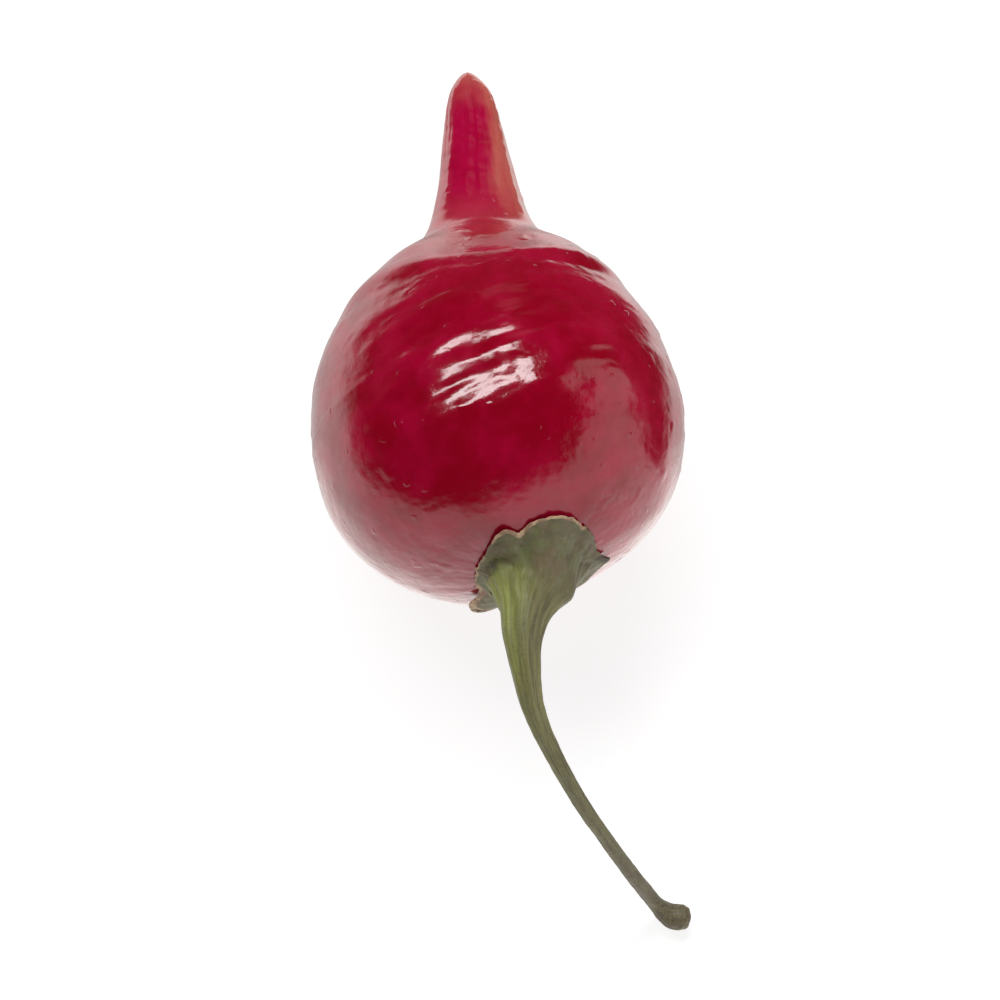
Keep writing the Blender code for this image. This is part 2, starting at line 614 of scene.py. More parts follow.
def fibre_group() -> bpy.types.NodeTree:
    """The fibres of a green stem, which run on into the calyx.

    Returns:
        A shader node group with inputs Fibre, a place among the fibres, and Seed, and outputs Streak
        and Height.
    """
    inputs = {"Fibre": "Vector", "Seed": "Float"}
    graph = Graph.group("plant_fibre", "ShaderNodeTree", inputs, {"Streak": "Float", "Height": "Float"})
    fine = graph.noise(graph.given("Fibre"), 0.55, graph.given("Seed"), detail=3.0, crisp=0.6)
    broad = graph.noise(graph.given("Fibre"), 1.6, graph.given("Seed") + 5.0, detail=2.0)
    graph.give({"Streak": graph.ramp(fine * 0.6 + broad * 0.4, 0.38, 0.62), "Height": fine})
    return graph.tree


class Finish:
    """A material on its way to being made, around one Principled BSDF."""

    def __init__(self, name: str, **constants: float) -> None:
        """Makes the material and sets the shader's own constants.

        Args:
            name: the material's name.
            constants: values by input name, with _ for a space.
        """
        self.material = bpy.data.materials.new(name)
        self.material.use_nodes = True
        self.graph = Graph(self.material.node_tree)
        self.shader = self.material.node_tree.nodes["Principled BSDF"]
        for socket, value in constants.items():
            self.shader.inputs[socket.replace("_", " ")].default_value = value

    def place(self) -> Flow:
        """The point on the piece, in metres."""
        return self.graph.flow("ShaderNodeTexCoord", output=3)

    def attribute(self, name: str, vector: bool = False) -> Flow:
        """A value that the piece carries at its points."""
        node = self.graph.node("ShaderNodeAttribute", attribute_name=name)
        return Flow(node.outputs["Vector" if vector else "Fac"])

    def effect(
        self, name: str, make: Callable[[], bpy.types.NodeTree], values: dict[str, Value]
    ) -> list[Flow]:
        """Places a shared node group and gives its outputs.

        Args:
            name: the group's name.
            make: the function that makes it, if no finish has used it yet.
            values: a value for each of its inputs.

        Returns:
            Its outputs, in order.
        """
        node = self.graph.node("ShaderNodeGroup", node_tree=bpy.data.node_groups.get(name) or make())
        for label, value in values.items():
            feed(node.inputs[label], value)
        return [Flow(socket) for socket in node.outputs]

    def grain(self, size: float, seed: float) -> list[Flow]:
        """The shared grain, as its height and its blotches."""
        return self.effect("plant_grain", grain_group, {"Place": self.place(), "Size": size, "Seed": seed})

    def fibres(self, seed: float) -> list[Flow]:
        """The shared fibres, as their streaks and their height."""
        place = self.attribute("fibre", vector=True)
        return self.effect("plant_fibre", fibre_group, {"Fibre": place, "Seed": seed})

    def wear(self, colour: Flow, roughness: Flow, height: Flow, depth: float) -> bpy.types.Material:
        """Links the finish to the shader.

        Args:
            colour: the base colour.
            roughness: the roughness.
            height: the bump's height, from 0 to 1.
            depth: how deep a height of 1 is, in metres.

        Returns:
            The material.
        """
        feed(self.shader.inputs["Base Color"], colour)
        feed(self.shader.inputs["Roughness"], roughness)
        bump = self.graph.flow("ShaderNodeBump", {"Height": height, "Distance": depth, "Strength": 1.0})
        feed(self.shader.inputs["Normal"], bump)
        return self.material


@dataclass(frozen=True)
class SkinFinish:
    """Glossy waxy skin: deep crimson, orange-red where the beak ripened last, with a painted pale pinkish
    sheen standing in for reflection down the beak's flanks and round the neck.
    """

    deep: Colour = (0.300, 0.0005, 0.013, 1.0)
    bright: Colour = (0.405, 0.0010, 0.031, 1.0)
    flush: Colour = (0.470, 0.0015, 0.050, 1.0)
    # orange-tan: the real orange of the ripe tip, and a painted reflection, the pale sheen on the beak's
    # flanks and neck
    blush_and_sheen: Colour = (0.540, 0.120, 0.095, 1.0)
    point: Colour = (0.120, 0.030, 0.015, 1.0)
    gloss: float = 0.12
    mottle_size: float = 2.2 * MM
    wart_size: float = 0.55 * MM
    grain_size: float = 0.19 * MM
    grain_depth: float = 0.012 * MM
    wart_height: float = 1.8  # in grain depths

    def material(self) -> bpy.types.Material:
        """Builds the material.

        Returns:
            The material.
        """
        constants = {"IOR": 1.45, "Coat_Roughness": 0.06, "Coat_IOR": 1.45}
        finish = Finish("skin", **constants, Subsurface_Weight=0.12, Subsurface_Scale=0.8 * MM)
        graph, place = finish.graph, finish.place()
        height, blotch = finish.grain(self.grain_size, 3.0)
        mottle = graph.ramp(graph.noise(place, self.mottle_size, 11.0, detail=4.0, crisp=0.6), 0.36, 0.66)
        colour = graph.paint(
            self.deep,
            (mottle, self.bright),
            (finish.attribute("flush") * (blotch * 0.5 + 0.5), self.flush),
            # painted reflection: the pale sheen down the beak's flanks and round the neck, laid with the real
            # orange of the ripe tip
            (finish.attribute("blush_and_sheen"), self.blush_and_sheen),
            (finish.attribute("point"), self.point),
        )
        warts = graph.ramp(graph.noise(place, self.wart_size, 41.0, detail=0.0), 0.735, 0.82)
        height += warts * self.wart_height
        feed(finish.shader.inputs["Coat Weight"], blotch * 0.25 + 0.3)
        return finish.wear(colour, mottle * 0.05 + blotch * 0.05 + self.gloss, height, self.grain_depth)


@dataclass(frozen=True)
class GreenFinish:
    """What the calyx and the stem share: olive fibres, fresher green in places and fine grain."""

    olive: Colour = (0.238, 0.225, 0.090, 1.0)
    dark: Colour = (0.120, 0.108, 0.048, 1.0)
    fresh: Colour = (0.330, 0.365, 0.095, 1.0)
    grain_size: float = 0.10 * MM
    grain_depth: float = 0.014 * MM

    def green(self, finish: Finish, plain: Value = 0.0) -> tuple[Flow, Flow, Flow]:
        """The colour that both have, with the height of its fibres and grain, and its blotches.

        Args:
            finish: the finish to draw it in.
            plain: how far the fibres have faded.

        Returns:
            Its colour, height and blotches.
        """
        graph = finish.graph
        grain, blotch = finish.grain(self.grain_size, 21.0)
        streak, fibre = finish.fibres(5.0)
        streak = (blotch - streak) * plain + streak
        colour = graph.mix(streak, self.dark, self.olive)
        share = finish.attribute("fresh") * (streak * 0.5 + 0.5)
        return graph.mix(share, colour, self.fresh), grain * 0.5 + fibre, blotch


@dataclass(frozen=True)
class CalyxFinish(GreenFinish):
    """Leathery olive green, greyer away from the stem, tan along its rim and brown where it dried, with
    painted shade in dark brown in the groove under the upper-left lobe.
    """

    grey: Colour = (0.122, 0.102, 0.052, 1.0)
    ashen: Colour = (0.235, 0.205, 0.140, 1.0)
    moss: Colour = (0.165, 0.195, 0.080, 1.0)
    rust: Colour = (0.190, 0.125, 0.080, 1.0)
    tan: Colour = (0.560, 0.390, 0.240, 1.0)
    parched: Colour = (0.300, 0.175, 0.110, 1.0)
    # brown also serves as painted shade in the groove under the upper-left lobe
    brown: Colour = (0.060, 0.036, 0.022, 1.0)
    patch_size: float = 0.55 * MM
    shade_size: float = 1.0 * MM
    crumb_size: float = 0.28 * MM

    def material(self) -> bpy.types.Material:
        """Builds the material.

        Returns:
            The material.
        """
        finish = Finish("calyx", IOR=1.45, Subsurface_Weight=0.05, Subsurface_Scale=0.4 * MM)
        graph = finish.graph
        leaf, place = finish.attribute("leaf"), finish.place()
        colour, height, blotch = self.green(finish, leaf * 0.6)
        patches = graph.noise(place, self.patch_size, 14.0, detail=3.0, crisp=0.6)
        shades = graph.noise(place, self.shade_size, 31.0, detail=3.0, crisp=0.6)
        crumbs = graph.noise(place, self.crumb_size, 4.0, detail=3.0, crisp=0.65)
        worn = crumbs * 0.9 + graph.ramp(shades, 0.44, 0.56) * 0.3
        dry = graph.mix(graph.ramp(patches + crumbs, 0.90, 1.12), self.tan, self.parched)
        colour = graph.paint(
            colour,
            (leaf * (blotch * 0.4 + 0.4), self.grey),
            (graph.ramp(patches, 0.50, 0.68) * leaf * 0.45, self.ashen),
            (graph.ramp(patches, 0.44, 0.30) * leaf * 0.5, self.brown),
            (graph.ramp(shades, 0.50, 0.62) * leaf * 0.5, self.moss),
            (graph.ramp(shades, 0.47, 0.37) * leaf * 0.5, self.rust),
            (graph.ramp(finish.attribute("edge") + worn, 1.05, 1.4), dry),
            # dead brown tips, and painted shade in the groove under the upper-left lobe
            (graph.ramp(finish.attribute("dead_and_shade") + crumbs * 0.8, 0.75, 1.15), self.brown),
        )
        return finish.wear(colour, blotch * 0.15 + 0.46, height + crumbs, self.grain_depth)


@dataclass(frozen=True)
class StemFinish(GreenFinish):
    """Fibrous olive green, browner and speckled towards its end, with a dark scar there."""

    brown: Colour = (0.150, 0.120, 0.080, 1.0)
    pale: Colour = (0.300, 0.290, 0.210, 1.0)
    scar: Colour = (0.110, 0.078, 0.048, 1.0)
    speck_size: float = 0.10 * MM
    scab_size: float = 0.16 * MM

    def material(self) -> bpy.types.Material:
        """Builds the material.

        Returns:
            The material.
        """
        finish = Finish("stem", IOR=1.45, Subsurface_Weight=0.05, Subsurface_Scale=0.3 * MM)
        graph = finish.graph
        old, place = finish.attribute("old"), finish.place()
        colour, height, blotch = self.green(finish)
        specks = graph.noise(place, self.speck_size, 9.0, detail=2.0)
        scabs = graph.noise(place, self.scab_size, 17.0, detail=3.0, crisp=0.7)
        colour = graph.paint(
            colour,
            (old * (blotch * 0.5 + 0.4), self.brown),
            (graph.ramp(specks, 0.58, 0.72) * 0.45, self.pale),
            (graph.ramp(scabs, 0.49, 0.37) * (old * 0.7 + 0.3), self.scar),
            (finish.attribute("scar"), self.scar),
        )
        return finish.wear(colour, blotch * 0.15 + 0.48, height, self.grain_depth)


# The pod


@dataclass
class Pod:
    """The fleshy pod: a ball that runs out into a beak, with creases round the neck between them."""

    centre: Vector
    rest_height: float = 8.37 * MM  # of its centre
    ball_radius: float = 8.5 * MM
    crown_depth: float = 7.85 * MM
    crown_power: float = 2.13
    beak_reach: float = 18.1 * MM
    tip_length: float = 2.0 * MM
    crown: Vector = field(default_factory=lambda: direction(-77.5, 30.0))
    beak: Vector = field(default_factory=lambda: direction(94.7, -26.2))
    beak_outline: tuple[Station, ...] = (
        (0.0, 8.5), (2.5, 8.12), (4.0, 7.52), (5.0, 6.95), (5.5, 6.60), (5.8, 6.30), (6.3, 5.80), (7.3, 4.88),
        (8.2, 3.93), (9.1, 2.98), (10.2, 2.36), (11.8, 1.88), (13.8, 1.52), (15.8, 1.16), (18.1, 0.74),
    )  # millimetres: distance along the beak, radius there
    flank_zone: Zone = ((-8.0, -5.0), (-4.0, 0.0))  # these zones are in millimetres along the beak
    collar_zone: Zone = ((4.6, 6.0), (7.0, 9.2))
    wrinkled_zone: Zone = ((-5.5, -3.0), (2.2, 4.2))
    creased_zone: Zone = ((5.6, 6.6), (8.4, 10.4))
    neck_zone: Zone = ((5.8, 7.5), (9.0, 11.5))
    beak_start: Station = (8.5 * MM, 11.5 * MM)  # these pairs say where something starts and is whole
    fold_start: Station = (-5.5 * MM, -7.2 * MM)
    pimple_start: Station = (7.0 * MM, 4.5 * MM)
    flush_start: Station = (7.0 * MM, 10.0 * MM)
    flank_start: Station = (7.0 * MM, 11.5 * MM)
    tip_start: Station = (15.6 * MM, 18.4 * MM)
    relief_end: Station = (0.1 * MM, 1.6 * MM)  # from the tip, as is the next
    point_end: Station = (0.05 * MM, 0.01 * MM)
    dent_size: float = 6 * MM
    pimple_size: float = 0.30 * MM
    blister_size: float = 0.75 * MM
    blush_and_sheen_size: float = 1.6 * MM
    tip_unevenness: float = 3.0 * MM
    wrinkle_belt: Belt = (1.25 * MM, 0.55)  # for the belts of lumps: width, and spread round in radians
    crease_belt: Belt = (0.30 * MM, 0.4)
    ridge_belt: Belt = (6 * MM, 0.36)
    pucker_belt: Belt = (0.42 * MM, 0.9)
    # for the ragged streaks of the painted sheen down the beak's flanks
    sheen_streak_belt: Belt = (3.5 * MM, 0.28)
    pucker_lean: float = 0.5 * MM
    wrinkle_lean: float = 1.5 * MM
    heights: dict[str, float] = field(
        default_factory=lambda: {
            "Dents": 0.14 * MM,
            "Shoulders": 0.16 * MM,
            "Brow": 0.30 * MM,
            "Wrinkles": 0.20 * MM,
            "Creases": 0.014 * MM,
            "Ridges": 0.085 * MM,
            "Beak Corners": 0.17 * MM,
            "Puckers": 0.050 * MM,
            "Folds": 0.070 * MM,
            "Pimples": 0.045 * MM,
            "Blisters": 0.030 * MM,
        }
    )
    seed: float = 8.0
    outline_points: int = 1600
    rings: int = 300
    sides: int = 288

    def crown_height(self, radius: float) -> float:
        """How far the crown's skin stands from the ball's centre, along the crown's axis."""
        share = (radius / self.ball_radius) ** self.crown_power
        return self.crown_depth * (1 - share) ** (1 / self.crown_power)

    def outline(self) -> list[Vector]:
        """The pod's outline from its crown to its tip.

        Returns:
            Points with the distance along the pod as X and the radius as Y.
        """
        beak = Line((place * MM, radius * MM) for place, radius in self.beak_outline)
        points = []
        for k in range(self.outline_points + 1):
            angle = math.pi / 2 * k / self.outline_points
            along = -self.crown_depth * math.cos(angle) ** (2 / self.crown_power)
            points.append(Vector((along, self.ball_radius * math.sin(angle) ** (2 / self.crown_power), 0)))
        for k in range(1, self.outline_points + 1):
            along = self.beak_reach * math.sin(math.pi / 2 * k / self.outline_points)
            into_tip = max((along - self.beak_reach + self.tip_length) / self.tip_length, 0)
            points.append(Vector((along, beak.at(along) * math.sqrt(max(1 - into_tip**2, 0)), 0)))
        return points

    def body(self, growth: Growth) -> Flow:
        """Turns the outline about an axis that bends from the crown's to the beak's.

        Args:
            growth: the pod's geometry tree.

        Returns:
            The plain skin.
        """
        size = {"Size X": 1.0, "Size Y": 1.0}
        counts = {"Vertices X": growth.given("Rings"), "Vertices Y": growth.given("Sides") + 1}
        grid = growth.flow("GeometryNodeMeshGrid", {**size, **counts})
        place = growth.place()
        turn = (place.part(1) + 0.5) * (2 * math.pi)
        outline = {"Curves": growth.given("Geometry"), "Factor": place.part(0) + 0.5}
        profile = growth.flow("GeometryNodeSampleCurve", outline, output=1)
        along, radius = profile.part(0), profile.part(1)
        first, last = growth.given("Crown Axis") * -1.0, growth.given("Beak Axis")
        bend = calculate("ARCCOSINE", calculate("DOT_PRODUCT", first, last))
        share = growth.ramp(along, 0.0, growth.given("Ball Radius"))
        axis = first * calculate("SINE", (1.0 - share) * bend) + last * calculate("SINE", share * bend)
        axis = calculate("NORMALIZE", axis)
        across, upward = growth.square(axis)
        cosine, sine = calculate("COSINE", turn), calculate("SINE", turn)
        outward = across * cosine - upward * sine
        spot = growth.given("Centre") + axis * along + outward * radius
        geometry = growth.store(grid, "along", along)
        geometry = growth.store(geometry, "around", growth.vector(cosine, sine, 0.0))
        geometry = growth.store(geometry, "spot", spot)
        return growth.close(growth.move(geometry, Position=growth.stored("spot", "FLOAT_VECTOR")))

    def relief(self, growth: Growth) -> Flow:
        """The height of the skin's dents, wrinkles, creases, ridges, folds and pimples.

        Args:
            growth: the pod's geometry tree.

        Returns:
            The height at each point, in metres.
        """
        place, seed = growth.place(), growth.given("Seed")
        along, around = growth.stored("along"), growth.stored("around", "FLOAT_VECTOR")
        side, top = around.part(0), around.part(1)
        corners = (side * side) * (top * top) * 4.0

        def clouds(size: float, pattern: float) -> Flow:
            """Round lumps and hollows, mostly from -0.5 to 0.5."""
            return (growth.noise(place, size, seed + pattern, detail=1.0) - 0.5) * 2.5

        def belts(start: Flow, belt: Belt, pattern: float) -> Flow:
            """Lumps drawn out round the pod.

            Args:
                start: how far along the pod each point counts as.
                belt: the lumps' width and their spread round the pod.
                pattern: which of the noise's patterns to use.

            Returns:
                Their height, mostly from -0.5 to 0.5.
            """
            width, spread = belt
            spot = growth.vector(start / width, side / spread, top / spread)
            return (growth.noise(spot, 1.0, seed + pattern, detail=1.5) - 0.5) * 2.5

        dents = clouds(self.dent_size, 0.0) + clouds(self.dent_size * 0.4, 9.0) * 0.36
        height = dents * growth.given("Dents")
        height += growth.zone(along, self.flank_zone) * (side * side) * growth.given("Shoulders")
        height += growth.zone(along, self.collar_zone) * corners * growth.given("Brow")
        wrinkled = growth.zone(along, self.wrinkled_zone) * growth.ramp(top, 0.58, 0.95) * 0.95 + 0.05
        leaning = along - side * growth.given("Wrinkle Lean")
        height += belts(leaning, self.wrinkle_belt, 33.0) * wrinkled * growth.given("Wrinkles")
        creased = growth.zone(along, self.creased_zone)
        height += belts(along, self.crease_belt, 2.0) * creased * growth.given("Creases")
        ridges = belts(along, self.ridge_belt, 3.0)
        from_tip = growth.given("Tip") - along
        beak = growth.ramp(along, *self.beak_start) * growth.ramp(from_tip, *self.relief_end)
        height += beak * (ridges * growth.given("Ridges") + corners * growth.given("Beak Corners"))
        puckers = belts(along + side * self.pucker_lean, self.pucker_belt, 4.0)
        height += beak * (puckers * growth.ramp(top, 0.2, 0.8)) * growth.given("Puckers")
        height += ridges * growth.ramp(along, *self.fold_start) * growth.given("Folds")
        pimples = growth.noise(place, self.pimple_size, seed + 5.0, detail=1.0) - 0.5
        height += pimples * growth.ramp(along, *self.pimple_start) * growth.given("Pimples")
        blisters = growth.noise(place, self.blister_size, seed + 6.0, detail=0.0)
        return height + growth.ramp(blisters, 0.68, 0.80) * growth.given("Blisters")

    def blush_and_sheen(self, growth: Growth) -> Flow:
        """How orange the skin is: towards the tip of the beak, where it ripened, and as a painted reflection,
        the pale sheen down its flanks and round the neck.

        Args:
            growth: the pod's geometry tree.

        Returns:
            The share at each point, from 0 to 1.
        """
        along, around = growth.stored("along"), growth.stored("around", "FLOAT_VECTOR")
        clouds = growth.noise(growth.place(), self.blush_and_sheen_size, growth.given("Seed") + 8.0, detail=3.0) - 0.5
        side = around.part(0)
        tip = growth.ramp(along + clouds * self.tip_unevenness, *self.tip_start)
        width, spread = self.sheen_streak_belt
        lines = growth.vector(along / width, side / spread, around.part(1) / spread)
        lines = growth.noise(lines, 1.0, growth.given("Seed") + 12.0, detail=2.0) - 0.5
        ragged = side + clouds * 0.4 + lines * 0.7
        # painted reflection: pale bands of sheen down both flanks of the beak
        flanks = growth.ramp(ragged, 0.30, 0.68) * 0.95 + growth.ramp(ragged, -0.50, -0.90) * 0.35
        flanks = flanks * growth.ramp(along, *self.flank_start)
        # painted reflection: a pale sheen round the neck
        neck = growth.zone(along, self.neck_zone)
        return calculate("MINIMUM", tip * 0.8 + flanks + neck * 0.2, 1.0)

    def growth(self) -> Growth:
        """The geometry tree that makes the skin from the outline.

        Returns:
            The tree.
        """
        inputs = {"Rings": "Int", "Sides": "Int"}
        inputs |= {name: "Vector" for name in ("Centre", "Crown Axis", "Beak Axis")}
        inputs |= {name: "Float" for name in ("Ball Radius", "Tip", "Wrinkle Lean", *self.heights)}
        growth = Growth("pod_growth", inputs)
        geometry = self.body(growth)
        # the real orange of the tip together with the painted sheen of the flanks and neck
        geometry = growth.store(geometry, "blush_and_sheen", self.blush_and_sheen(growth))
        geometry = growth.store(geometry, "flush", growth.ramp(growth.stored("along"), *self.flush_start))
        from_tip = growth.given("Tip") - growth.stored("along")
        geometry = growth.store(geometry, "point", growth.ramp(from_tip, *self.point_end))
        geometry = growth.raise_skin(geometry, self.relief(growth))
        place = growth.place()
        pressed = growth.vector(place.part(0), place.part(1), calculate("MAXIMUM", place.part(2), 0.0))
        growth.finish(growth.move(geometry, Position=pressed))
        return growth

    def build(self, finish: SkinFinish) -> bpy.types.Object:
        """Grows the pod and puts it on the pepper's body in place of its imported solid.

        Args:
            finish: the finish of its skin.

        Returns:
            The piece.
        """
        outline = self.outline()
        base = add_curve("pod_outline", outline, [1.0] * len(outline))
        values = {
            "Rings": self.rings,
            "Sides": self.sides,
            "Centre": self.centre,
            "Crown Axis": self.crown,
            "Beak Axis": self.beak,
            "Ball Radius": self.ball_radius,
            "Tip": self.beak_reach,
            "Wrinkle Lean": self.wrinkle_lean,
            **self.heights,
            "Seed": self.seed,
            "Finish": finish.material(),
        }
        piece = self.growth().grow("pod_skin", base, values)
        hand_in(piece, "pod", Slot.SKIN)
        return piece


# The stem


@dataclass
class Stem:
    """The stalk: a trumpet that grows out of the calyx, a thin stalk and a knob."""

    pod: Pod
    foot_height: float = 8.7 * MM
    route: tuple[tuple[float, float, float], ...] = (
        (1.36, -8.28, 13.28), (1.22, -9.05, 13.66), (1.18, -9.70, 13.90), (1.24, -10.50, 14.04),
        (1.40, -11.60, 13.96), (1.66, -12.80, 13.50), (2.28, -14.30, 12.60), (3.58, -16.70, 10.30),
        (4.98, -18.80, 7.40), (6.28, -20.60, 4.20), (7.12, -21.65, 1.75), (7.62, -22.20, 0.95),
        (8.16, -22.50, 0.68), (9.02, -22.58, 0.66),
    )  # millimetres, after its foot
    taper: tuple[Station, ...] = (
        (0.0, 1.82), (0.5, 1.54), (1.07, 1.28), (1.75, 1.06), (2.3, 0.95), (3.15, 0.77), (4.25, 0.63),
        (5.2, 0.54), (6.8, 0.455), (9.5, 0.385), (13.0, 0.345), (18.0, 0.335), (22.0, 0.345),
    )  # millimetres: distance from the foot, radius there
    knob: tuple[Station, ...] = (
        (0.0, 0.0), (0.03, 0.17), (0.09, 0.31), (0.20, 0.44), (0.36, 0.545), (0.60, 0.60), (0.95, 0.58),
        (1.4, 0.47), (1.9, 0.38), (2.5, 0.335),
    )  # millimetres: distance from the end, radius there
    end_places: tuple[float, ...] = (0.10, 0.06, 0.03, 0.015, 0.005, 0.0)  # millimetres from the end
    end_length: float = 0.13 * MM  # the run that those places cover
    start: float = 1.2 * MM
    sunk: float = 0.25 * MM  # how far its start lies inside the calyx
    fresh_side: Vector = field(default_factory=lambda: Vector((-0.970, 0.242, 0.0)))
    rib_count: int = 5
    rib_turn: float = math.radians(8.0)
    rib_depth: float = 0.060 * MM
    rib_fade: Station = (9.0 * MM, 2.4 * MM)  # between these places the ribs grow flat towards the end
    lump_start: Station = (2.4 * MM, 4.0 * MM)
    lump_size: float = 1.1 * MM
    lump_height: float = 0.045 * MM
    old_start: Station = (7.0 * MM, 23.0 * MM)
    surfaced: float = 1.9 * MM  # where its start has come out of the calyx
    knob_reach: float = 0.6 * MM
    scar_length: float = 0.16 * MM
    scar_depth: float = 0.08 * MM
    seed: float = 12.0
    step: float = 0.06 * MM
    sides: int = 64

    def __post_init__(self) -> None:
        """Lays the smooth line down the middle of the stem."""
        points = [self.pod.centre + self.pod.crown * self.foot_height]
        points += [Vector(p) * MM for p in self.route]
        places = [0.0]
        for near, far in zip(points, points[1:]):
            places.append(places[-1] + (far - near).length)
        self.length = places[-1]
        self.lines = [Line(zip(places, [p[i] for p in points])) for i in range(3)]
        self.radius_line = Line((place * MM, radius * MM) for place, radius in self.taper)
        self.knob_line = Line((place * MM, radius * MM) for place, radius in self.knob)

    def middle(self, along: float) -> Vector:
        """The point in the middle of the stem at a distance from its foot."""
        return Vector([line.at(along) for line in self.lines])

    def heading(self, along: float) -> Vector:
        """The way the stem runs at a distance from its foot."""
        nudge = 0.05 * MM
        return (self.middle(along + nudge) - self.middle(max(along - nudge, 0.0))).normalized()

    def radius(self, along: float) -> float:
        """How thick the stem is.

        Args:
            along: the distance from its foot.

        Returns:
            The radius there, in metres.
        """
        from_end = self.length - along
        knob = self.knob_line.at(from_end)
        return knob if from_end < self.knob_reach else max(self.radius_line.at(along), knob)

    def ribs(self, turn: float) -> float:
        """The height of the ribs near the foot.

        Args:
            turn: the angle round the stem, in radians.

        Returns:
            Their height, in metres.
        """
        own = turn - self.rib_turn
        waves = math.cos(self.rib_count * own) + 0.4 * math.cos((2 * self.rib_count + 1) * own)
        return self.rib_depth * waves

    def skin(self, turn: float, along: float, proud: float = 0.0) -> tuple[Vector, Vector]:
        """A point on the ribbed skin near the foot.

        Args:
            turn: the angle round the stem, in radians.
            along: the distance from its foot.
            proud: how far the point stands off the skin.

        Returns:
            The point, and the way outwards there.
        """
        outward = around(self.heading(along), turn)
        return self.middle(along) + outward * (self.radius(along) + self.ribs(turn) + proud), outward

    def growth(self) -> Growth:
        """The geometry tree that makes the stem from the line down its middle.

        Returns:
            The tree.
        """
        sizes = ("Start", "Length", "Ribs", "Rib Depth", "Rib Turn", "Scar Length", "Scar Depth", "Lumps")
        inputs = {"Sides": "Int", "Fresh Side": "Vector", **{name: "Float" for name in sizes}}
        growth = Growth("stem_growth", inputs)
        along = growth.flow("GeometryNodeSplineParameter", output=1) + growth.given("Start")
        line = growth.store(growth.given("Geometry"), "along", along)
        line = growth.store(line, "heading", growth.flow("GeometryNodeInputTangent"))
        line = growth.store(line, "middle", growth.place())
        ring = {"Resolution": growth.given("Sides"), "Radius": 1.0}
        ring = growth.flow("GeometryNodeCurvePrimitiveCircle", ring)
        radius = growth.flow("GeometryNodeInputRadius")
        tube = {"Curve": line, "Profile Curve": ring, "Scale": radius}
        tube = growth.close(growth.flow("GeometryNodeCurveToMesh", tube))
        along, heading = growth.stored("along"), growth.stored("heading", "FLOAT_VECTOR")
        across, upward = growth.square(heading)
        outward = calculate("NORMALIZE", growth.place() - growth.stored("middle", "FLOAT_VECTOR"))
        side, top = calculate("DOT_PRODUCT", outward, across), calculate("DOT_PRODUCT", outward, upward)
        turn = calculate("ARCTAN2", top, side) - growth.given("Rib Turn")
        waves = calculate("COSINE", turn * growth.given("Ribs"))
        waves += calculate("COSINE", turn * (growth.given("Ribs") * 2.0 + 1.0)) * 0.4
        slim = growth.ramp(along, *self.rib_fade) * 0.7 + 0.3
        spot = growth.vector(side, top, along / self.lump_size)
        lumps = (growth.noise(spot, 1.0, growth.given("Seed"), detail=2.0) - 0.5) * 2.0
        lumps = lumps * growth.ramp(along, *self.lump_start) * growth.given("Lumps")
        end = growth.given("Length")
        past = growth.ramp(along, end - growth.given("Scar Length"), end)
        spot = growth.vector(side * FIBRES, top * FIBRES, along / FIBRE_LENGTH)
        tube = growth.store(tube, "fibre", spot)
        fresh_side = growth.given("Fresh Side")
        facing = side * fresh_side.part(0) + top * fresh_side.part(1)
        green = growth.ramp(along, FRESH_TO, FRESH_FROM) * growth.ramp(facing, *FRESH_FACING)
        tube = growth.store(tube, "fresh", green)
        tube = growth.store(tube, "old", growth.ramp(along, *self.old_start))
        tube = growth.store(tube, "scar", past)
        waves = waves * slim * growth.given("Rib Depth")
        tube = growth.move(tube, Offset=outward * ((waves + lumps) * (1.0 - past)))
        growth.finish(growth.move(tube, Offset=heading * (past * growth.given("Scar Depth") * -1.0)))
        return growth

    def build(self, finish: StemFinish) -> bpy.types.Object:
        """Grows the stem and puts it on the pepper's body in place of its imported solid.

        Args:
            finish: the finish of its skin.

        Returns:
            The piece.
        """
        span = self.length - self.start
        count = round(span / self.step)
        places = [self.start + span * k / count for k in range(count + 1)]
        places = [place for place in places if place < self.length - self.end_length]
        places += [self.length - place * MM for place in self.end_places]
        radii = [self.radius(p) - self.sunk * smoothstep(self.surfaced, self.start, p) for p in places]
        radii[0] = 0.0
        base = add_curve("stem_line", [self.middle(p) for p in places], radii)
        values = {
            "Sides": self.sides,
            "Start": self.start,
            "Length": self.length,
            "Ribs": float(self.rib_count),
            "Rib Depth": self.rib_depth,
            "Rib Turn": self.rib_turn,
            "Scar Length": self.scar_length,
            "Scar Depth": self.scar_depth,
            "Lumps": self.lump_height,
            "Fresh Side": self.fresh_side,
            "Seed": self.seed,
            "Finish": finish.material(),
        }
        piece = self.growth().grow("stem_stalk", base, values)
        hand_in(piece, "stem", Slot.STEM)
        return piece


# The calyx


